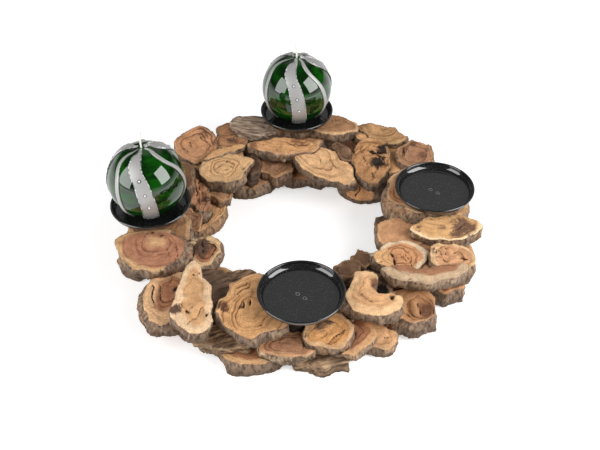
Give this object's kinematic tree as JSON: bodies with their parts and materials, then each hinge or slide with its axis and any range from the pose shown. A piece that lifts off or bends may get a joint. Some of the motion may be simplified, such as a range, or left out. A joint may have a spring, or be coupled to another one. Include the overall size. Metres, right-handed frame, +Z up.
{
  "type": "advent wreath candle holder",
  "caption": "Ring-shaped advent candle holder of irregular wood slices glued in layers, with pull-out black steel candle plates on spikes and lift-off ball candles with wax ribbons.",
  "frame": {"origin": "middle of the ring on the table, which is the middle of the underside of the bounding box", "axes": "+Z up, -Y towards the empty front plate, +X to the right seen from the front"},
  "size_m": [0.3902, 0.3925, 0.1592],
  "materials": {
    "sawn_wood": "sawn end grain, oiled",
    "shaded_wood": "sawn end grain with bark edge",
    "bark_wood": "rough bark",
    "hot_glue": "clear hot-melt glue",
    "plate_black": "gloss black",
    "spike_black": "satin black",
    "wax_green": "lacquered wax",
    "ribbon_silver": "satin silver wax",
    "stone_clear": "cut glass",
    "wick_cotton": "waxed cotton"
  },
  "bodies": {
    "wreath": {"back_bark_block": "bark_wood", "back_base_slices": "shaded_wood", "back_chips": "sawn_wood", "back_large_slice": "sawn_wood", "back_left_fill_slices": "sawn_wood", "back_left_round_slice": "sawn_wood", "back_left_tall_slice": "sawn_wood", "back_mid_slice": "sawn_wood", "back_right_far_slice": "sawn_wood", "back_right_slice": "sawn_wood", "back_right_top_slice": "sawn_wood", "back_seat_slice": "sawn_wood", "bark_nubs": "bark_wood", "corner_middle_slices": "shaded_wood", "front_base_slices": "shaded_wood", "front_center_crescent": "sawn_wood", "front_center_low_slice": "sawn_wood", "front_center_slice": "sawn_wood", "front_inner_base_slices": "shaded_wood", "front_left_bark_slice": "bark_wood", "front_left_round_slice": "sawn_wood", "front_left_wedge_slice": "sawn_wood", "front_left_wide_slice": "sawn_wood", "front_right_hook_slice": "sawn_wood", "front_right_knot_slice": "sawn_wood", "front_right_mid_slice": "sawn_wood", "front_seat_slice": "sawn_wood", "glue_dabs": "hot_glue", "inner_base_slices": "shaded_wood", "inner_left_bark_slice": "bark_wood", "left_back_slice": "sawn_wood", "left_fibre_slice": "sawn_wood", "left_inner_ring_slice": "sawn_wood", "left_round_slice": "sawn_wood", "left_seat_slice": "sawn_wood", "outer_base_slices": "shaded_wood", "right_back_face_slice": "sawn_wood", "right_back_slice": "sawn_wood", "right_crescent_slice": "sawn_wood", "right_outer_slice": "sawn_wood", "right_ring_slice": "sawn_wood", "right_round_slice": "sawn_wood", "right_slab_slice": "sawn_wood", "side_middle_slices": "shaded_wood"},
    "front_plate": {"front_plate_dish": "plate_black", "front_plate_spike": "spike_black"},
    "right_plate": {"right_plate_dish": "plate_black", "right_plate_spike": "spike_black"},
    "left_plate": {"left_plate_dish": "plate_black", "left_plate_spike": "spike_black"},
    "back_plate": {"back_plate_dish": "plate_black", "back_plate_spike": "spike_black"},
    "left_candle": {"left_candle_ball": "wax_green", "left_candle_wick": "wick_cotton", "left_candle_ribbons": "ribbon_silver", "left_candle_stones": "stone_clear"},
    "back_candle": {"back_candle_ball": "wax_green", "back_candle_wick": "wick_cotton", "back_candle_ribbons": "ribbon_silver", "back_candle_stones": "stone_clear"}
  },
  "joints": [
    {"name": "front_plate_pull", "type": "slide", "parent": "wreath", "child": "front_plate", "axis": [0, 0, 1], "range_m": [0, 0.05]},
    {"name": "right_plate_pull", "type": "slide", "parent": "wreath", "child": "right_plate", "axis": [0, 0, 1], "range_m": [0, 0.05]},
    {"name": "left_plate_pull", "type": "slide", "parent": "wreath", "child": "left_plate", "axis": [-0.0344, -0.0061, 0.9994], "range_m": [0, 0.05]},
    {"name": "back_plate_pull", "type": "slide", "parent": "wreath", "child": "back_plate", "axis": [0, 0, 1], "range_m": [0, 0.05]},
    {"name": "left_candle_lift", "type": "slide", "parent": "left_plate", "child": "left_candle", "axis": [-0.0344, -0.0061, 0.9994], "range_m": [0, 0.06]},
    {"name": "back_candle_lift", "type": "slide", "parent": "back_plate", "child": "back_candle", "axis": [0, 0, 1], "range_m": [0, 0.06]}
  ]
}
